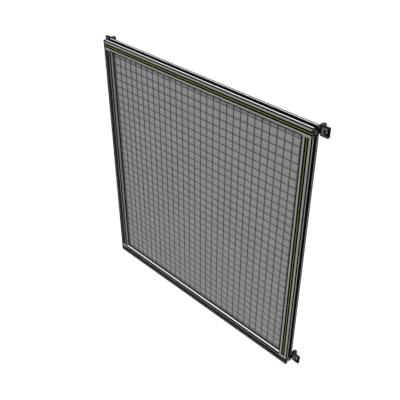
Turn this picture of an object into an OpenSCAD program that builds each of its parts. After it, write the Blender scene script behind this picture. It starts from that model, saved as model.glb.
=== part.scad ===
// Machine guard fence panel: a T-slot aluminium frame with yellow slot covers,
// a wire mesh on a grey sheet held in the inner slots, and four black hinges.
// X runs along the panel, Y from front to back, Z up.  The origin lies on the
// mating face of the lower left hinge's outer leaf, level with its screw hole.

/* [Frame] */
// Width over the two posts
width = 1090; // [600:1:1600]
// Height over the two rails
height = 1140; // [600:1:1800]
// Side of the square T-slot profile
profile = 40; // [38:1:42]
// Width of a slot at its mouth
slot_w = 8.2; // [8:0.1:8.4]
// Thickness of the lips on both sides of a slot
lip_t = 4.5; // [4:0.1:5]
// Depth of a slot from the face of the profile
slot_depth = 12.25; // [11.5:0.05:12.5]
// Full width of the chamber behind the lips
chamber_w = 20; // [18:0.5:21]
// Thickness of the webs that run to the corners
web_t = 3; // [2:0.5:4]
// Diameter of the bore along the profile
core_bore_d = 6.8; // [5:0.1:8]

/* [Slot covers] */
// Width of the raised yellow rib
cover_rib_w = 5; // [4:0.1:6.4]
// Height of the rib above the cover's base
cover_rib_h = 3; // [2:0.1:3.2]

/* [Infill] */
// Distance between neighbouring wires
pitch = 34.2; // [30:0.1:36]
// Side of a wire's section
wire_t = 2.8; // [2:0.1:3]
// Thickness of the sheet behind the wires
sheet_t = 1.2; // [1:0.1:1.5]
// Depth of the wires' front behind the front of the frame
infill_depth = 16.8; // [16.6:0.1:17]
// How far the infill reaches into the slots
infill_grip = 8; // [6:0.5:9]
// How far the gasket stands out of the slot
gasket_out = 1; // [1:0.5:4]

/* [Hinges] */
// Gap between the frame and the next post, with the pin's axis in its middle
hinge_gap = 5; // [4:0.5:6]
// Height of a hinge leaf
leaf_h = 40; // [36:1:40]
// Height of an inner leaf, which stays hidden behind the profile
inner_leaf_h = 28; // [24:1:28]
// Width of a hinge leaf
leaf_w = 34; // [33:0.5:36]
// Thickness of a hinge leaf
leaf_t = 8; // [7:0.5:8]
// Diameter of the screw hole
hole_d = 8.5; // [8:0.1:9]
// Diameter of the knuckles
knuckle_d = 18; // [15:0.5:18]
// Height of the three knuckles together
knuckle_h = 36; // [30:1:37]
// Distance of the pin's axis behind the frame
pin_back = 17.5; // [17.5:0.5:20]
// Diameter of the hinge pin
pin_d = 6; // [5:0.5:8]

/* [Hidden] */

half = profile / 2;
origin_out = 10;
left = origin_out;
right = left + width;
bottom = -half;
top = bottom + height;
front = -profile;
post_low = bottom + profile;
post_high = top - profile;

corner_r = 1.5;
mouth_chamfer = 0.8;
corner_hollow = 5.5;
corner_wall = 2.25;
cut = 1;

wall_depth = half - chamber_w / 2 - web_t / sqrt(2);
floor_half = chamber_w / 2 - (slot_depth - wall_depth);

cover_gap = 0.1;
cover_recess = 0.3;
cover_base_t = 1.1;
cover_leg_t = 1;
cover_leg_h = 2.6;
cover_barb = 0.9;

bands = 3;
weld_overlap = 0.4;
mesh_shift = 6;
mesh_drop = 9;
mesh_mid_x = (left + right) / 2 - mesh_shift;
mesh_mid_z = (bottom + top) / 2 - mesh_drop;
mesh_left = left + profile - infill_grip;
mesh_right = right - profile + infill_grip;
mesh_low = post_low - infill_grip;
mesh_high = post_high + infill_grip;
wires_up = 1 + floor((mesh_right - mesh_left - wire_t - 2 * mesh_shift) / pitch);
wires_across = 1 + floor((mesh_high - mesh_low - wire_t - 2 * mesh_drop) / pitch);
wire_across_y = front + infill_depth;
wire_up_y = wire_across_y + wire_t - weld_overlap;
sheet_y = wire_up_y + wire_t;
infill_back = sheet_y + sheet_t;

gasket_w = 8;
gasket_base_t = 1.5;

leaf_corner_r = 5;
leaf_clearance = 0.5;
ring_d = 16;
ring_depth = 1;
head_d = 15;
head_depth = 4;
lug_w = 7.6;
lug_l = 3;
lug_h = 2.5;
lug_root = 1;
lug_out = 10.2;
knuckle_gap = 0.3;
pin_clearance = 0.1;
pin_head_d = 10;
pin_head_h = 1.5;
arm_root = 8;
arm_sink = 2;

alu = [0.72, 0.73, 0.74];
yellow = [0.62, 0.6, 0.2];
wire_grey = [0.33, 0.34, 0.35];
sheet_grey = [0.56, 0.57, 0.58];
rubber = [0.06, 0.06, 0.06];
black = [0.1, 0.1, 0.11];
steel = [0.55, 0.55, 0.56];

// ---- T-slot frame ------------------------------------------------------

function arc(c, r, a0, a1, n) =
    [for (i = [0:n]) let (a = a0 + (a1 - a0) * i / n) c + r * [cos(a), sin(a)]];

// One slot of the section, opening towards +X.
module slot_section() {
    mouth = slot_w / 2;
    polygon([
        [half + cut, mouth + mouth_chamfer], [half, mouth + mouth_chamfer],
        [half - mouth_chamfer, mouth], [half - lip_t, mouth],
        [half - lip_t, chamber_w / 2], [half - wall_depth, chamber_w / 2],
        [half - slot_depth, floor_half], [half - slot_depth, -floor_half],
        [half - wall_depth, -chamber_w / 2], [half - lip_t, -chamber_w / 2],
        [half - lip_t, -mouth], [half - mouth_chamfer, -mouth],
        [half, -mouth - mouth_chamfer], [half + cut, -mouth - mouth_chamfer]]);
}

// Section of the profile, centred on its core bore.
module profile_section() {
    k = half - corner_r;
    difference() {
        polygon([for (q = [0:3]) each
            arc([[k, k], [-k, k], [-k, -k], [k, -k]][q], corner_r, 90 * q, 90 * q + 90, 4)]);
        for (q = [0:3]) rotate(90 * q) slot_section();
        circle(d = core_bore_d, $fn = 48);
        for (q = [0:3])
            rotate(90 * q)
                translate([1, 1] * (half - corner_hollow - corner_wall))
                    square(corner_hollow);
    }
}

// A profile that runs along X from the left side of the frame.
module rail(z_low) {
    color(alu)
        translate([left, front + half, z_low + half])
            rotate([90, 0, 90])
                linear_extrude(width) profile_section();
}

// A profile that stands between the two rails.
module post(x_low) {
    color(alu)
        translate([x_low + half, front + half, post_low])
            linear_extrude(post_high - post_low) profile_section();
}

module top_rail() rail(post_high);
module bottom_rail() rail(bottom);
module left_post() post(left);
module right_post() post(right - profile);

// ---- Yellow slot covers ------------------------------------------------

// Section of the clip-in cover: rib outwards along +X, face of the profile at 0.
module cover_section() {
    rib = cover_rib_w / 2;
    base = slot_w / 2 - cover_gap;
    base_top = -cover_recess - cover_rib_h;
    base_low = base_top - cover_base_t;
    barb_top = -lip_t - cover_gap;
    leg_low = barb_top - cover_leg_h;
    outline = [
        [-cover_recess, rib], [base_top, rib], [base_top, base], [barb_top, base],
        [barb_top, base + cover_barb], [leg_low, base - cover_leg_t / 2],
        [leg_low, base - 2 * cover_leg_t], [base_low, base - 2 * cover_leg_t]];
    mirrored = [for (i = [len(outline) - 1:-1:0]) [outline[i][0], -outline[i][1]]];
    polygon(concat(outline, mirrored));
}

module rail_cover(z_low) {
    color(yellow)
        translate([left, front, z_low + half])
            rotate([90, 0, 90])
                rotate(180)
                    linear_extrude(width) cover_section();
}

module post_cover(x_low) {
    end_gap = 0.5;
    color(yellow)
        translate([x_low + half, front, post_low + end_gap])
            rotate(-90)
                linear_extrude(post_high - post_low - 2 * end_gap) cover_section();
}

module top_slot_cover() rail_cover(post_high);
module bottom_slot_cover() rail_cover(bottom);
module left_slot_cover() post_cover(left);
module right_slot_cover() post_cover(right - profile);

// ---- Infill: welded wires on a thin sheet ------------------------------

// Upright wires of one band with the lengths of cross wire that they carry.
module mesh_band(band) {
    first = round(band * wires_up / bands);
    next = round((band + 1) * wires_up / bands);
    wire_x = function (i) mesh_mid_x + (i - (wires_up - 1) / 2) * pitch;
    band_left = band == 0 ? mesh_left : wire_x(first) - pitch / 2;
    band_right = band == bands - 1 ? mesh_right : wire_x(next) - pitch / 2;
    color(wire_grey) {
        for (i = [first:next - 1])
            translate([wire_x(i) - wire_t / 2, wire_up_y, mesh_low])
                cube([wire_t, wire_t, mesh_high - mesh_low]);
        for (j = [0:wires_across - 1])
            translate([band_left, wire_across_y,
                       mesh_mid_z + (j - (wires_across - 1) / 2) * pitch - wire_t / 2])
                cube([band_right - band_left, wire_t, wire_t]);
    }
}

module left_mesh() mesh_band(0);
module middle_mesh() mesh_band(1);
module right_mesh() mesh_band(2);

module infill_sheet() {
    color(sheet_grey)
        translate([mesh_left, sheet_y, mesh_low])
            cube([mesh_right - mesh_left, sheet_t, mesh_high - mesh_low]);
}

// U-shaped edge gasket: base in the slot, lips standing out along +X.
module gasket_section() {
    back_low = -infill_grip - gasket_base_t;
    y_front = -gasket_w / 2;
    y_wires = infill_depth - half;
    y_sheet = infill_back - front - half;
    polygon([
        [back_low, y_front], [gasket_out, y_front], [gasket_out, y_wires],
        [-infill_grip, y_wires], [-infill_grip, y_sheet], [gasket_out, y_sheet],
        [gasket_out, gasket_w / 2], [back_low, gasket_w / 2]]);
}

module post_gasket(x, turned) {
    color(rubber)
        translate([x, front + half, post_low])
            mirror([turned, 0, 0])
                linear_extrude(post_high - post_low) gasket_section();
}

module rail_gasket(z, turned) {
    inset = profile + gasket_out;
    color(rubber)
        translate([left + inset, front + half, z])
            mirror([0, 0, turned])
                rotate([0, 90, 0])
                    mirror([1, 0, 0])
                        linear_extrude(width - 2 * inset) gasket_section();
}

module left_gasket() post_gasket(left + profile, 0);
module right_gasket() post_gasket(right - profile, 1);
module bottom_gasket() rail_gasket(post_low, 0);
module top_gasket() rail_gasket(post_high, 1);

// ---- Hinges --------------------------------------------------------------
// Local axes: X outwards from the pin's axis, Y back, Z up from mid-leaf.

leaf_in = leaf_clearance;
leaf_out = leaf_in + leaf_w;
hole_x = half + hinge_gap / 2;
third = knuckle_h / 3;

// Rounded outline of a leaf, in X and Z.
module leaf_outline(leaf_height) {
    r = leaf_corner_r;
    h = leaf_height / 2;
    polygon(concat(
        [[leaf_in, -h]],
        arc([leaf_out - r, -h + r], r, -90, 0, 6),
        arc([leaf_out - r, h - r], r, 0, 90, 6),
        [[leaf_in, h]]));
}

// Arm from the leaf to the knuckle with the knuckle's round end, in X and Y.
module arm_outline() {
    r = knuckle_d / 2;
    c = [0, pin_back];
    root_in = [leaf_in, leaf_t];
    root_out = [leaf_in + arm_root, leaf_t];
    sink = [0, -arm_sink];
    near = root_in - c;
    far = root_out - c;
    a_near = atan2(near[1], near[0]) - acos(r / norm(near));
    a_far = atan2(far[1], far[0]) + acos(r / norm(far));
    polygon(concat([root_in, root_in + sink, root_out + sink, root_out],
                   arc(c, r, a_far, a_near + 360, 20)));
}

module knuckle(z_low, z_high) {
    translate([0, 0, z_low])
        linear_extrude(z_high - z_low) arm_outline();
}

module leaf_plate(leaf_height) {
    rotate([90, 0, 0])
        mirror([0, 0, 1])
            linear_extrude(leaf_t) leaf_outline(leaf_height);
}

module pin_bore() {
    translate([0, pin_back, -leaf_h])
        cylinder(d = pin_d + 2 * pin_clearance, h = 2 * leaf_h, $fn = 48);
}

// Screw hole along Y, with a shallow ring round it in the mating face and a
// recess for the screw's head at the back.
module screw_hole() {
    translate([hole_x, 0, 0])
        rotate([-90, 0, 0]) {
            translate([0, 0, -cut]) cylinder(d = hole_d, h = leaf_t + 2 * cut, $fn = 48);
            translate([0, 0, -cut]) cylinder(d = ring_d, h = ring_depth + cut, $fn = 48);
            translate([0, 0, leaf_t - head_depth]) cylinder(d = head_d, h = leaf_t, $fn = 48);
        }
}

// Two lugs that keep the leaf from turning, across the given direction.
module lugs(upright) {
    for (s = [-1, 1])
        translate([hole_x, 0, 0])
            rotate([0, upright ? 0 : 90, 0])
                translate([-lug_w / 2, -lug_h, s * lug_out - lug_l / 2])
                    cube([lug_w, lug_h + lug_root, lug_l]);
}

module outer_leaf() {
    color(black)
        difference() {
            union() {
                leaf_plate(leaf_h);
                knuckle(-third / 2 + knuckle_gap, third / 2 - knuckle_gap);
                lugs(true);
            }
            pin_bore();
            screw_hole();
        }
}

module inner_leaf() {
    color(black)
        mirror([1, 0, 0])
            difference() {
                union() {
                    leaf_plate(inner_leaf_h);
                    knuckle(-knuckle_h / 2, -third / 2);
                    knuckle(third / 2, knuckle_h / 2);
                    lugs(false);
                }
                pin_bore();
                screw_hole();
            }
}

module hinge_pin() {
    color(steel)
        translate([0, pin_back, 0]) {
            cylinder(d = pin_d, h = knuckle_h + pin_head_h, center = true, $fn = 48);
            for (s = [0, 1])
                mirror([0, 0, s])
                    translate([0, 0, knuckle_h / 2]) cylinder(d = pin_head_d, h = pin_head_h, $fn = 48);
        }
}

// Puts a hinge piece at one corner of the frame: side -1 left or 1 right.
module at_corner(side, z) {
    pin_out = hinge_gap / 2;
    translate([side < 0 ? left - pin_out : right + pin_out, 0, z])
        mirror([side < 0 ? 1 : 0, 0, 0]) children();
}

hinge_low = bottom + half;
hinge_high = top - half;

module top_left_inner_leaf() at_corner(-1, hinge_high) inner_leaf();
module top_left_outer_leaf() at_corner(-1, hinge_high) outer_leaf();
module top_left_hinge_pin() at_corner(-1, hinge_high) hinge_pin();
module top_right_inner_leaf() at_corner(1, hinge_high) inner_leaf();
module top_right_outer_leaf() at_corner(1, hinge_high) outer_leaf();
module top_right_hinge_pin() at_corner(1, hinge_high) hinge_pin();
module bottom_left_inner_leaf() at_corner(-1, hinge_low) inner_leaf();
module bottom_left_outer_leaf() at_corner(-1, hinge_low) outer_leaf();
module bottom_left_hinge_pin() at_corner(-1, hinge_low) hinge_pin();
module bottom_right_inner_leaf() at_corner(1, hinge_low) inner_leaf();
module bottom_right_outer_leaf() at_corner(1, hinge_low) outer_leaf();
module bottom_right_hinge_pin() at_corner(1, hinge_low) hinge_pin();

top_rail();
bottom_rail();
left_post();
right_post();
top_slot_cover();
bottom_slot_cover();
left_slot_cover();
right_slot_cover();
left_mesh();
middle_mesh();
right_mesh();
infill_sheet();
top_gasket();
bottom_gasket();
left_gasket();
right_gasket();
top_left_inner_leaf();
top_left_outer_leaf();
top_left_hinge_pin();
top_right_inner_leaf();
top_right_outer_leaf();
top_right_hinge_pin();
bottom_left_inner_leaf();
bottom_left_outer_leaf();
bottom_left_hinge_pin();
bottom_right_inner_leaf();
bottom_right_outer_leaf();
bottom_right_hinge_pin();
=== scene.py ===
import bmesh
import bpy
import math
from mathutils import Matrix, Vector


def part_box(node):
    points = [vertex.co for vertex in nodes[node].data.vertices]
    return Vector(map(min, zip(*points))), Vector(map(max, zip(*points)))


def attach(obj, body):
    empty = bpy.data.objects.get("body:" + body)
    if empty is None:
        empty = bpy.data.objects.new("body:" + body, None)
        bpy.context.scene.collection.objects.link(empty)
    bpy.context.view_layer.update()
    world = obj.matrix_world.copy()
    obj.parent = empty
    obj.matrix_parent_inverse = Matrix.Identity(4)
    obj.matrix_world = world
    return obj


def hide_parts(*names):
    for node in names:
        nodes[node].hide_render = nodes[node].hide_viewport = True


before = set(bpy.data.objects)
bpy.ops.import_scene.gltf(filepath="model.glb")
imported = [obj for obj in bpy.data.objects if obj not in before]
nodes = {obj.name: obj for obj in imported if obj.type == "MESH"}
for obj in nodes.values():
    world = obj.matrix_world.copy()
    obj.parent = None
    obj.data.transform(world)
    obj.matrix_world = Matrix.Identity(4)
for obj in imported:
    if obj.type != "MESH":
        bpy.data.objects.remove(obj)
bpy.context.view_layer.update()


# Camera: it stands to the front right of the panel, above its top rail, and looks
# down at the middle of the panel through a slightly long lens.
panel_low, panel_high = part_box("bottom_rail")[0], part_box("top_rail")[1]
panel_centre = (panel_low + panel_high) / 2
camera_place = panel_centre + Vector((1.5516, -1.5440, 1.5605))
camera_aim = panel_centre + Vector((0.0311, -0.0207, 0.0321))

lens = bpy.data.cameras.new("camera")
lens.sensor_width = 36.0
lens.lens = 56.83
lens.clip_start, lens.clip_end = 0.02, 60.0
camera = bpy.data.objects.new("camera", lens)
camera.location = camera_place
camera.rotation_mode = "QUATERNION"
camera.rotation_quaternion = (camera_aim - camera_place).to_track_quat("-Z", "Y")
bpy.context.scene.collection.objects.link(camera)
bpy.context.scene.camera = camera
bpy.context.scene.view_settings.view_transform = "Standard"


# Studio: a pale floor under the bottom rail, an even white room, a lamp straight
# overhead that whitens the upward faces, one at the front right that lights the
# panel evenly, and a broad weak one behind it.
room_level = 0.15
overhead_strength = 5.4
front_strength = 1.23
back_strength = 1.0
floor_grey = (0.16, 0.16, 0.16, 1)
floor_white = (0.49, 0.49, 0.49, 1)
floor_shadow_depth = 0.22
floor_radius = 14.0
floor_gap = 0.0005


class Shade:
    """A socket of a material, so that masks and mixes can be written as sums."""

    def __init__(self, tree, socket=None):
        self.tree, self.socket = tree, socket

    def node(self, kind, settings=(), sockets=(), out=0):
        """A new node of this kind, with its settings and what its sockets take."""
        made = self.tree.nodes.new(kind)
        for key, value in dict(settings).items():
            setattr(made, key, value)
        for key, value in dict(sockets).items():
            if isinstance(value, Shade):
                self.tree.links.new(value.socket, made.inputs[key])
            else:
                made.inputs[key].default_value = value
        return Shade(self.tree, made.outputs[out]) if made.outputs else None

    def maths(self, operation, *terms):
        return self.node("ShaderNodeMath", {"operation": operation}, dict(enumerate(terms)))

    def __add__(self, other):
        return self.maths("ADD", self, other)

    __radd__ = __add__

    def __sub__(self, other):
        return self.maths("SUBTRACT", self, other)

    def __rsub__(self, other):
        return self.maths("SUBTRACT", other, self)

    def __mul__(self, other):
        return self.maths("MULTIPLY", self, other)

    __rmul__ = __mul__

    def __abs__(self):
        return self.maths("ABSOLUTE", self)

    def root(self):
        return self.maths("SQRT", self)

    def larger(self, other):
        return self.maths("MAXIMUM", self, other)

    def smaller(self, other):
        return self.maths("MINIMUM", self, other)

    def past(self, edge, blur=0.3):
        """0 short of edge and 1 beyond it, in a step softened by blur on either side."""
        return self.node("ShaderNodeMapRange", {"interpolation_type": "SMOOTHSTEP"},
                         {"Value": self, "From Min": edge - blur, "From Max": edge + blur})

    def choose(self, under, over):
        """The number under where this mask is 0 and over where it is 1."""
        return self * over + (1 - self) * under

    def blend(self, under, over):
        """The colour under where this mask is 0 and over where it is 1."""
        return self.node("ShaderNodeMix", {"data_type": "RGBA"},
                         {"Factor": self, 6: under, 7: over}, out=2)


def new_finish(name):
    """An empty material and the start of its node tree."""
    material = bpy.data.materials.new(name)
    material.use_nodes = True
    material.node_tree.nodes.clear()
    return material, Shade(material.node_tree)


def open_white(start, lit, white):
    """lit for the light that bounces about, white for what the lens and mirrors see."""
    seen = start.node("ShaderNodeLightPath", out="Is Camera Ray")
    shiny = start.node("ShaderNodeLightPath", out="Is Glossy Ray")
    through = start.node("ShaderNodeLightPath", out="Is Transmission Ray")
    return start.node("ShaderNodeMixShader", {},
                      {0: seen.larger(shiny).larger(through), 1: lit, 2: white})


room = bpy.data.worlds.new("room")
room.use_nodes = True
room.node_tree.nodes.clear()
start = Shade(room.node_tree)
room_light = start.node("ShaderNodeBackground", {},
                        {"Color": (1, 1, 1, 1), "Strength": room_level})
room_white = start.node("ShaderNodeBackground", {},
                        {"Color": (1, 1, 1, 1), "Strength": 1.0})
start.node("ShaderNodeOutputWorld", {}, {"Surface": open_white(start, room_light, room_white)})
bpy.context.scene.world = room

floor_finish, start = new_finish("floor")
floor_lit = start.node("ShaderNodeBsdfDiffuse", {}, {"Color": floor_grey})
floor_paint = start.node("ShaderNodeBsdfDiffuse", {}, {"Color": floor_white})
floor_glow = start.node("ShaderNodeEmission", {}, {"Color": (1, 1, 1, 1), "Strength": 1.0})
floor_seen = start.node("ShaderNodeMixShader", {},
                        {0: floor_shadow_depth, 1: floor_glow, 2: floor_paint})
start.node("ShaderNodeOutputMaterial", {},
           {"Surface": open_white(start, floor_lit, floor_seen)})

floor_mesh = bpy.data.meshes.new("floor")
form = bmesh.new()
bmesh.ops.create_circle(form, cap_ends=True, segments=96, radius=floor_radius)
form.to_mesh(floor_mesh)
form.free()
floor = bpy.data.objects.new("floor", floor_mesh)
floor.location = (panel_centre.x, panel_centre.y, panel_low.z - floor_gap)
floor_mesh.materials.append(floor_finish)
bpy.context.scene.collection.objects.link(floor)


def lamp(name, strength, spread, towards):
    """A distant lamp that shines along towards, spread over this many degrees."""
    light = bpy.data.lights.new(name, "SUN")
    light.energy, light.angle = strength, math.radians(spread)
    holder = bpy.data.objects.new(name, light)
    holder.rotation_mode = "QUATERNION"
    holder.rotation_quaternion = Vector(towards).to_track_quat("-Z", "Y")
    bpy.context.scene.collection.objects.link(holder)


lamp("overhead_lamp", overhead_strength, 1, (0, 0.026, -1))
lamp("front_lamp", front_strength, 3, (-0.76, 0.77, -0.74))
lamp("back_lamp", back_strength, 40, (0.5, -0.8, -0.3))


# Frame: four lengths of 40 mm T-slot aluminium, finely streaked by the extrusion
# die and sawn off square, with the posts between the rails.  The edges and slot
# mouths are dark lines, and the slots are painted dull black inside as painted shade.
millimetre = 0.001
aluminium_grey = (0.42, 0.42, 0.42, 1)
aluminium_pale = (0.46, 0.46, 0.46, 1)
sawn_grey = (0.02, 0.02, 0.02, 1)
line_black = (0.005, 0.005, 0.005, 1)
# The rest of the values are in mm; those of the section count from its middle.
half_profile = 20.0
skin_from = half_profile - 1.0
chamber_half = 10.7
bright_core = 5.0
bright_corner_from, bright_corner_to = 13.0, 18.0
thin_lines = (1.6, 1.6, 5.2)
left_end_line, right_end_line = 7.0, 3.5


def dress(piece, material):
    """Gives the piece this one material."""
    if piece.data.materials:
        piece.data.materials[0] = material
    else:
        piece.data.materials.append(material)


def noise(start, place, scale, detail, roughness=0.5):
    """A cloudy pattern between 0 and 1, with about scale clouds to the metre."""
    return start.node("ShaderNodeTexNoise", {}, {"Vector": place, "Scale": scale,
                                                 "Detail": detail, "Roughness": roughness})


def streaked(start, place, axis, across, along, detail, roughness=0.5):
    """The same pattern drawn out along one axis, so that it has across clouds to the
    metre the other ways and along clouds that way."""
    scale = [across] * 3
    scale[axis] = along
    drawn_out = start.node("ShaderNodeMapping", {}, {"Vector": place, "Scale": scale})
    return noise(start, drawn_out, 1.0, detail, roughness)


def relief(start, height, strength, depth=0.0001):
    """The slight unevenness of a skin, from a pattern of heights."""
    return start.node("ShaderNodeBump", {},
                      {"Strength": strength, "Distance": depth, "Height": height})


def lined(start, skin, lines):
    """The finish skin with dull black wherever the mask lines is 1."""
    black = start.node("ShaderNodeBsdfPrincipled", {},
                       {"Base Color": line_black, "Roughness": 0.9, "Specular IOR Level": 0.0})
    return start.node("ShaderNodeMixShader", {}, {0: lines, 1: skin, 2: black})


def face_lines(across, low_line, high_line, mouth, low_part=1.0):
    """Dark lines on one face of the profile: along its low and its high edge, and
    over the half-width of the slot's mouth, all in mm.  The low one is drawn only
    where low_part is 1."""
    low = (0 - across).past(half_profile - low_line)
    high = across.past(half_profile - high_line)
    return (low * low_part).larger(high).larger(1 - abs(across).past(mouth))


def long_lines(outer, backward, outwards, front, side, beside_mesh):
    """Dark lines on the four long faces of a profile.  front gives the widths of
    those at the inner and the outer edge and over the mouth, on the front face; side
    gives those at the front and the back edge and over the mouth, on the top or
    right face.  The faces turned the other way have thin lines only."""
    on_side = (abs(outer) - abs(backward)).past(0, 0.05)
    wide = on_side.choose(face_lines(outer, *front, beside_mesh), face_lines(backward, *side))
    thin = on_side.choose(face_lines(outer, *thin_lines), face_lines(backward, *thin_lines))
    turned_away = on_side.choose(backward, 0 - outer * outwards).past(0, 0.05)
    return turned_away.choose(wide, thin)


def sawn_end(start, place, near, far):
    """Colour of a sawn end: dark, and bright round the core bore and round the
    hollows in the corners."""
    bright = near.past(bright_corner_from, 0.5) * (1 - far.past(bright_corner_to, 0.2))
    bright = bright.larger(1 - far.past(bright_core, 0.5))
    saw_marks = noise(start, place, scale=900, detail=4)
    return (bright * (0.7 + saw_marks * 0.5)).blend(sawn_grey, aluminium_grey)


def aluminium(name, axis, outwards, front, side):
    """Material of the profile with this node name, which runs along axis and has the
    outside of the frame on its outwards side.  front and side give the widths of its
    long lines, and a rail has a dark line across each end as well."""
    low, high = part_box(name)
    middle = (low + high) / 2
    material, start = new_finish(name + "_aluminium")
    place = start.node("ShaderNodeTexCoord", out="Object")
    facing = start.node("ShaderNodeNewGeometry", out="Normal")
    spot = [start.node("ShaderNodeSeparateXYZ", {}, {0: place}, out=k) for k in range(3)]
    turned = start.node("ShaderNodeSeparateXYZ", {}, {0: facing}, out=axis)
    outer = (spot[2 - axis] - middle[2 - axis]) * (outwards / millimetre)
    backward = (spot[1] - middle.y) * (1 / millimetre)
    far = abs(outer).larger(abs(backward))
    near = abs(outer).smaller(abs(backward))

    beside_mesh, at_end = 1.0, 0.0
    if axis == 0:
        from_left = (spot[0] - low.x) * (1 / millimetre)
        from_right = (high.x - spot[0]) * (1 / millimetre)
        beside_mesh = from_left.smaller(from_right).past(2 * half_profile, 0.5)
        at_end = 1 - from_left.past(left_end_line).smaller(from_right.past(right_end_line))
    drawn = long_lines(outer, backward, outwards, front, side, beside_mesh).larger(at_end)
    outside = far.past(skin_from, 0.1)
    # Painted shade: the walls inside the slots and the core bore are made dull black, as if in
    # shadow.
    chamber_painted_shade = (1 - outside) * (1 - near.past(chamber_half, 0.2))
    cut_end = abs(turned).past(0.7, 0.1)
    lines = (drawn * outside).larger(chamber_painted_shade) * (1 - cut_end)

    streaks = streaked(start, place, axis, across=900, along=2.5, detail=3, roughness=0.6)
    clouds = streaked(start, place, axis, across=60, along=9, detail=2)
    skin = (streaks * 0.6 + clouds * 0.4).past(0.5, 0.2).blend(aluminium_grey, aluminium_pale)
    surface = start.node(
        "ShaderNodeBsdfPrincipled", {},
        {"Base Color": cut_end.blend(skin, sawn_end(start, place, near, far)),
         "Metallic": 0.12, "Roughness": 0.42 + streaks * 0.12,
         "Normal": relief(start, streaks, 0.12, 0.0002), "Specular IOR Level": 0.3})
    start.node("ShaderNodeOutputMaterial", {}, {"Surface": lined(start, surface, lines)})
    return material


for name, axis, outwards, front, side in (
        ("top_rail", 0, 1, (3.9, 3.7, 9.0), (5.3, 6.6, 10.3)),
        ("bottom_rail", 0, -1, (7.5, 8.7, 9.8), (3.5, 3.9, 10.0)),
        ("left_post", 2, -1, (8.0, 9.0, 9.5), (1.7, 3.4, 9.5)),
        ("right_post", 2, 1, (3.7, 3.3, 8.9), (5.5, 7.4, 9.8))):
    dress(nodes[name], aluminium(name, axis, outwards, front, side))


# Slot covers: ribbed strips of muted yellow plastic, clipped into the front slots.
# Those of the rails run the full width, those of the posts butt against them.  Only a
# narrow band down the rib is yellow; the rest is dull black, painted shade in the groove
# beside the rib along with dark lines on the rib's edges.  The bottom and the left strip
# are darkened nearly to black.
cover_yellow = (0.47, 0.47, 0.11, 1)
cover_worn = (0.52, 0.52, 0.15, 1)
# The near black that the bottom and the left strip are darkened towards.
cover_near_black = (0.01, 0.01, 0.004, 1)


def darkened(colour, colour_kept):
    """colour kept in the given share against near black: all black at 0 and unchanged at 1."""
    return [black_part + colour_kept * (paint - black_part) for black_part, paint in zip(cover_near_black, colour)]


def cover_plastic(name, axis, rib_half, colour_kept, dark_end):
    """Plastic of the cover with this node name, which runs along axis.  Its yellow
    is rib_half mm wide on either side of the middle, keeps the given share of its
    colour against near black, and starts dark_end mm from the left end.  Beyond the
    yellow band the cover is dull black: painted shade in the groove beside the rib,
    and dark lines on the rib's edges."""
    low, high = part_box(name)
    material, start = new_finish(name + "_plastic")
    place = start.node("ShaderNodeTexCoord", out="Object")
    over = start.node("ShaderNodeSeparateXYZ", {}, {0: place}, out=2 - axis)
    across = abs(over - (low + high)[2 - axis] / 2) * (1 / millimetre)
    # Painted shade: off the narrow middle band the cover is dull black, for the groove beside
    # the rib and the rib's edges.
    dark = across.past(rib_half, 0.25)
    if dark_end:
        along = start.node("ShaderNodeSeparateXYZ", {}, {0: place}, out=axis)
        dark = dark.larger(1 - ((along - low[axis]) * (1 / millimetre)).past(dark_end))
    mottle = streaked(start, place, axis, across=220, along=40, detail=4)
    grain = noise(start, place, scale=2500, detail=2)
    skin = mottle.past(0.5, 0.2).blend(darkened(cover_yellow, colour_kept), darkened(cover_worn, colour_kept))
    surface = start.node(
        "ShaderNodeBsdfPrincipled", {},
        {"Base Color": skin, "Roughness": 0.5 + mottle * 0.12,
         "Normal": relief(start, grain, 0.15), "Specular IOR Level": 0.3})
    start.node("ShaderNodeOutputMaterial", {}, {"Surface": lined(start, surface, dark)})
    return material


# The fourth number is the share of colour kept: the bottom and the left strip are darkened
# nearly to black.
for name, axis, rib_half, colour_kept, dark_end in (
        ("top_slot_cover", 0, 1.1, 1.0, 7.0), ("bottom_slot_cover", 0, 0.9, 0.2, 0),
        ("left_slot_cover", 2, 0.9, 0.08, 0), ("right_slot_cover", 2, 0.8, 1.0, 0)):
    dress(nodes[name], cover_plastic(name, axis, rib_half, colour_kept, dark_end))


# Gaskets: black rubber strips of U section, pushed into the inner slots.  They
# grip the wires and the sheet and stand a little out of the slots.
rubber_black = (0.012, 0.012, 0.012, 1)
rubber_dusty = (0.03, 0.03, 0.03, 1)

rubber, start = new_finish("gasket_rubber")
place = start.node("ShaderNodeTexCoord", out="Object")
dust = noise(start, place, scale=160, detail=5)
grain = noise(start, place, scale=1800, detail=2)
surface = start.node(
    "ShaderNodeBsdfPrincipled", {},
    {"Base Color": dust.past(0.55, 0.2).blend(rubber_black, rubber_dusty),
     "Roughness": 0.6 + dust * 0.2, "Normal": relief(start, grain, 0.3),
     "Specular IOR Level": 0.3})
start.node("ShaderNodeOutputMaterial", {}, {"Surface": surface})
for name in ("top_gasket", "bottom_gasket", "left_gasket", "right_gasket"):
    dress(nodes[name], rubber)


# Infill sheet: a thin flat sheet right behind the wires, grey in the mass with a
# matt face, finely grained and very slightly cloudy.
sheet_grey = (0.50, 0.50, 0.50, 1)
sheet_pale = (0.54, 0.54, 0.54, 1)

sheet_face, start = new_finish("matt_grey_sheet")
place = start.node("ShaderNodeTexCoord", out="Object")
cloud = noise(start, place, scale=9, detail=5)
grain = noise(start, place, scale=1400, detail=2)
tone = (cloud * 0.7 + grain * 0.3).past(0.5, 0.2)
surface = start.node(
    "ShaderNodeBsdfPrincipled", {},
    {"Base Color": tone.blend(sheet_grey, sheet_pale), "Roughness": 0.62 + cloud * 0.12,
     "Normal": relief(start, grain, 0.12), "Specular IOR Level": 0.3})
start.node("ShaderNodeOutputMaterial", {}, {"Surface": surface})
dress(nodes["infill_sheet"], sheet_face)
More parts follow.
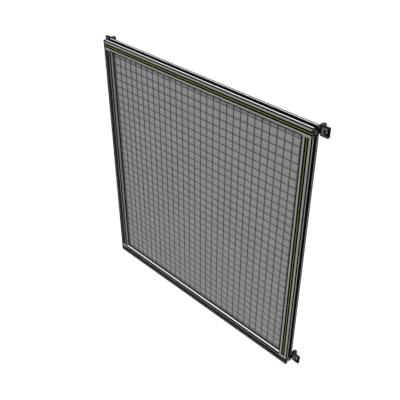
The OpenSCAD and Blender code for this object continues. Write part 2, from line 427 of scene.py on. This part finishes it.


# Wire mesh: round 3 mm wires 34.2 mm apart, spot-welded wherever they meet, with a
# small collar of squeezed-out metal at each weld.  The cross wires lie in front and
# are coated dark grey; the uprights lie behind and are painted nearly black and mostly
# mixed with dull black, as painted shade of the row behind.
wire_radius = 1.5 * millimetre
wire_pitch = 34.2 * millimetre
uprights, cross_wires = 30, 31
wire_sides, weld_sides = 12, 8
mesh_shift, mesh_drop = 6 * millimetre, 9 * millimetre
weld_radius = 2.0 * millimetre
weld_reach, weld_bulge = 0.75 * millimetre, 0.45 * millimetre
# Painted shade of the uprights: the share of dull black over them, and their near-black
# colours.
upright_shade_share = 0.7
upright_dark = (0.005, 0.005, 0.005, 1)
upright_grey = (0.012, 0.012, 0.012, 1)
cross_dark = (0.105, 0.105, 0.105, 1)
cross_grey = (0.145, 0.145, 0.145, 1)


def ring_of(form, centre, axis, radius, sides):
    """A ring of points round a centre, square to an axis."""
    first, second = [k for k in range(3) if k != axis]
    ring = []
    for k in range(sides):
        turn = 2 * math.pi * k / sides
        point = Vector(centre)
        point[first] += radius * math.cos(turn)
        point[second] += radius * math.sin(turn)
        ring.append(form.verts.new(point))
    return ring


def skinned(form, low_ring, high_ring):
    """Closes the band between two rings of equally many points."""
    count = len(low_ring)
    for k in range(count):
        n = (k + 1) % count
        form.faces.new((low_ring[k], low_ring[n], high_ring[n], high_ring[k]))


def lathe(form, centre, axis, stations, sides):
    """Skins rings of (distance along axis, radius), closes the first of them and
    returns the last, which is left open."""
    rings = []
    for distance, radius in stations:
        point = Vector(centre)
        point[axis] += distance
        rings.append(ring_of(form, point, axis, radius, sides))
    for low_ring, high_ring in zip(rings, rings[1:]):
        skinned(form, low_ring, high_ring)
    form.faces.new(rings[0][::-1])
    return rings[-1]


def cropped_wire(form, middle, axis, half_length):
    """One straight wire with ends rounded by the cropping tool."""
    r, h = wire_radius, half_length
    end = lathe(form, middle, axis,
                ((-h, 0.72 * r), (-h + 0.12 * r, 0.9 * r), (-h + 0.4 * r, r),
                 (h - 0.4 * r, r), (h - 0.12 * r, 0.9 * r), (h, 0.72 * r)), wire_sides)
    form.faces.new(end)


def weld(form, middle):
    """The collar at one crossing."""
    r = weld_radius
    end = lathe(form, middle, 1,
                ((-weld_reach, 0.5 * r), (-weld_bulge, 0.85 * r), (0.0, r),
                 (weld_bulge, 0.85 * r), (weld_reach, 0.5 * r)), weld_sides)
    form.faces.new(end)


def finished(name, form, smooth=35):
    """The mesh in form as a new piece, shaded smooth up to an angle in degrees."""
    bmesh.ops.recalc_face_normals(form, faces=form.faces)
    mesh = bpy.data.meshes.new(name)
    form.to_mesh(mesh)
    form.free()
    mesh.shade_smooth()
    mesh.set_sharp_from_angle(angle=math.radians(smooth))
    piece = bpy.data.objects.new(name, mesh)
    bpy.context.scene.collection.objects.link(piece)
    return piece


mesh_low, mesh_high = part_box("left_mesh")[0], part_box("right_mesh")[1]
mesh_centre = (mesh_low + mesh_high) / 2
mesh_half = (mesh_high - mesh_low) / 2
cross_y = mesh_low.y + wire_radius
upright_y = mesh_high.y - wire_radius
weld_y = (cross_y + upright_y) / 2
wire_x = [mesh_centre.x - mesh_shift + (k - (uprights - 1) / 2) * wire_pitch
          for k in range(uprights)]
wire_z = [mesh_centre.z - mesh_drop + (k - (cross_wires - 1) / 2) * wire_pitch
          for k in range(cross_wires)]

form = bmesh.new()
for x in wire_x:
    cropped_wire(form, (x, upright_y, mesh_centre.z), 2, mesh_half.z)
for z in wire_z:
    cropped_wire(form, (mesh_centre.x, cross_y, z), 0, mesh_half.x)
for x in wire_x:
    for z in wire_z:
        weld(form, (x, weld_y, z))
wires = finished("welded_wires", form, smooth=50)

coating, start = new_finish("wire_coating")
place = start.node("ShaderNodeTexCoord", out="Object")
patches = noise(start, place, scale=55, detail=4)
orange_peel = noise(start, place, scale=900, detail=2)
depth = start.node("ShaderNodeSeparateXYZ", {}, {0: place}, out=1)
# Painted shade: the uprights, in the row behind, take much darker colours than the cross
# wires.
on_uprights = depth.past(weld_y, 0.2 * millimetre)
thin_coat = on_uprights.blend(cross_dark, upright_dark)
thick_coat = on_uprights.blend(cross_grey, upright_grey)
surface = start.node(
    "ShaderNodeBsdfPrincipled", {},
    {"Base Color": patches.past(0.5, 0.2).blend(thin_coat, thick_coat),
     "Roughness": 0.42 + patches * 0.2, "Normal": relief(start, orange_peel, 0.25),
     "Specular IOR Level": 0.35})
# Painted shade: over the uprights the coating is mostly mixed with dull black.
shaded_uprights = lined(start, surface, on_uprights * upright_shade_share)
start.node("ShaderNodeOutputMaterial", {}, {"Surface": shaded_uprights})
dress(wires, coating)
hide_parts("left_mesh", "middle_mesh", "right_mesh")
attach(wires, "root")


# Hinges: each has an inner leaf on the back of the rail's end, an outer leaf that
# is bolted to the next post, and a pin through their three knuckles.  The leaves
# are moulded in black glass-filled plastic, the pins are blackened steel.
moulded_black = (0.006, 0.006, 0.006, 1)
moulded_scuffed = (0.014, 0.014, 0.014, 1)
face_grey = (0.17, 0.17, 0.17, 1)
face_scuffed = (0.21, 0.21, 0.21, 1)
pin_black = (0.006, 0.006, 0.006, 1)
pin_worn = (0.015, 0.015, 0.015, 1)
# The rest of the values are in mm.
leaf_width = 34.0
hole_from_leaf_edge = 12.0
face_depth = 1.4
outer_rim, level_rim, inner_rim = 6.9, 4.9, 2.9
ring_inside, ring_outside = 5.3, 10.9


def mating_face(start, place, low, high, outwards):
    """Masks of the face that an outer leaf turns to the next post, and of the dark
    lines on it, along the leaf's edges and round the screw hole."""
    x, y, z = (start.node("ShaderNodeSeparateXYZ", {}, {0: place}, out=k) for k in range(3))
    leaf_edge = high.x if outwards > 0 else low.x
    from_edge = (leaf_edge - x) * (outwards / millimetre)
    off_middle = (z - (low.z + high.z) / 2) * (1 / millimetre)
    half_height = (high.z - low.z) / 2 / millimetre
    rim = (from_edge - outer_rim).smaller(half_height - level_rim - abs(off_middle))
    rim = rim.smaller(leaf_width - inner_rim - from_edge)
    across = from_edge - hole_from_leaf_edge
    radius = (across * across + off_middle * off_middle).root()
    ring = radius.past(ring_inside) * (1 - radius.past(ring_outside))
    face = 1 - y.past(face_depth * millimetre, 0.2 * millimetre)
    return face, face * ring.larger(1 - rim.past(0))


def moulded(name, outwards=0):
    """Black plastic of the leaf with this node name.  One that stands out of the
    frame, towards outwards, has a greyer mating face with dark lines."""
    material, start = new_finish(name + "_plastic")
    place = start.node("ShaderNodeTexCoord", out="Object")
    scuffs = noise(start, place, scale=120, detail=6)
    scuffed = scuffs.past(0.575, 0.175)
    pitting = start.node("ShaderNodeTexVoronoi", {}, {"Vector": place, "Scale": 1500})
    skin, lines = scuffed.blend(moulded_black, moulded_scuffed), 0.0
    if outwards:
        face, lines = mating_face(start, place, *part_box(name), outwards)
        skin = face.blend(skin, scuffed.blend(face_grey, face_scuffed))
    surface = start.node(
        "ShaderNodeBsdfPrincipled", {},
        {"Base Color": skin, "Roughness": 0.48 + scuffs * 0.2,
         "Normal": relief(start, pitting, 0.35), "Specular IOR Level": 0.07})
    start.node("ShaderNodeOutputMaterial", {}, {"Surface": lined(start, surface, lines)})
    return material


def steel(name, grey, pale, metallic, roughness):
    """Steel with a patina that clouds it between two greys."""
    material, start = new_finish(name)
    place = start.node("ShaderNodeTexCoord", out="Object")
    patina = noise(start, place, scale=300, detail=5)
    surface = start.node(
        "ShaderNodeBsdfPrincipled", {},
        {"Base Color": patina.past(0.5, 0.2).blend(grey, pale), "Metallic": metallic,
         "Roughness": roughness + patina * 0.2, "Specular IOR Level": 0.15})
    start.node("ShaderNodeOutputMaterial", {}, {"Surface": surface})
    return material


blackened = steel("blackened_steel", pin_black, pin_worn, 0.0, 0.6)
corners = ("top_left", "top_right", "bottom_left", "bottom_right")
for corner in corners:
    outwards = 1 if "right" in corner else -1
    dress(nodes[corner + "_inner_leaf"], moulded(corner + "_inner_leaf"))
    dress(nodes[corner + "_outer_leaf"], moulded(corner + "_outer_leaf", outwards))
    dress(nodes[corner + "_hinge_pin"], blackened)


# Clamp screws: a low-headed socket screw of plated steel sinks into each leaf.  That
# of the inner leaf pulls a slot nut up against the lips of the rail's back slot, and
# that of the outer leaf waits for the next post.
plated_grey = (0.17, 0.17, 0.18, 1)
plated_pale = (0.25, 0.25, 0.26, 1)
head_seat = 4 * millimetre
head_top = 8.8 * millimetre
head_radius = 6.5 * millimetre
head_bevel = 0.6 * millimetre
shank_radius = 3.9 * millimetre
shank_bevel = 0.8 * millimetre
screw_sides = 36
socket_radius = 2.9 * millimetre
socket_depth = 2.8 * millimetre
clamped_shank_end = -11 * millimetre
waiting_shank_end = 0.4 * millimetre
nut_depth = 4.55 * millimetre
nut_half_width, nut_half_length = 6.6 * millimetre, 8 * millimetre
nut_thickness = 5 * millimetre
neck_half_width, neck_height = 3.7 * millimetre, 1.8 * millimetre


def socket_screw(form, x, z, shank_end):
    """Shank, head with a bevelled rim, and a hexagon socket in the head."""
    rim = lathe(form, (x, 0, z), 1,
                ((shank_end, shank_radius - shank_bevel),
                 (shank_end + shank_bevel, shank_radius), (head_seat, shank_radius),
                 (head_seat, head_radius), (head_top - head_bevel, head_radius),
                 (head_top, head_radius - head_bevel)), screw_sides)
    mouth = ring_of(form, (x, head_top, z), 1, socket_radius, screw_sides)
    for k, vert in enumerate(mouth):
        turn = 2 * math.pi * k / screw_sides
        wedge = turn % (math.pi / 3) - math.pi / 6
        reach = socket_radius * math.cos(math.pi / 6) / math.cos(wedge)
        vert.co.x, vert.co.z = x + reach * math.cos(turn), z + reach * math.sin(turn)
    bed = [form.verts.new(vert.co - Vector((0, socket_depth, 0))) for vert in mouth]
    skinned(form, rim, mouth)
    skinned(form, mouth, bed)
    form.faces.new(bed)


def slot_nut(form, x, z):
    """T-shaped nut: a body behind the lips and a neck that stands between them."""
    w, n, y = nut_half_width, neck_half_width, -nut_depth
    one_side = [(n, y + neck_height), (n, y), (w, y), (w, y - 0.4 * nut_thickness),
                (0.6 * w, y - nut_thickness)]
    outline = [(-across, deep) for across, deep in one_side[::-1]] + one_side
    near, far = ([form.verts.new((x + end, deep, z + across)) for across, deep in outline]
                 for end in (-nut_half_length, nut_half_length))
    skinned(form, near, far)
    form.faces.new(near[::-1])
    form.faces.new(far)


plated = steel("plated_steel", plated_grey, plated_pale, 0.85, 0.3)
for corner in corners:
    for leaf, shank_end in (("inner", clamped_shank_end), ("outer", waiting_shank_end)):
        low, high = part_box(corner + "_" + leaf + "_leaf")
        at_right_edge = ("left" in corner) == (leaf == "inner")
        inset = hole_from_leaf_edge * millimetre
        x = high.x - inset if at_right_edge else low.x + inset
        z = (low.z + high.z) / 2
        form = bmesh.new()
        socket_screw(form, x, z, shank_end)
        if leaf == "inner":
            slot_nut(form, x, z)
        screw = finished(corner + "_" + leaf + "_screw", form)
        dress(screw, plated)
        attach(screw, "root")
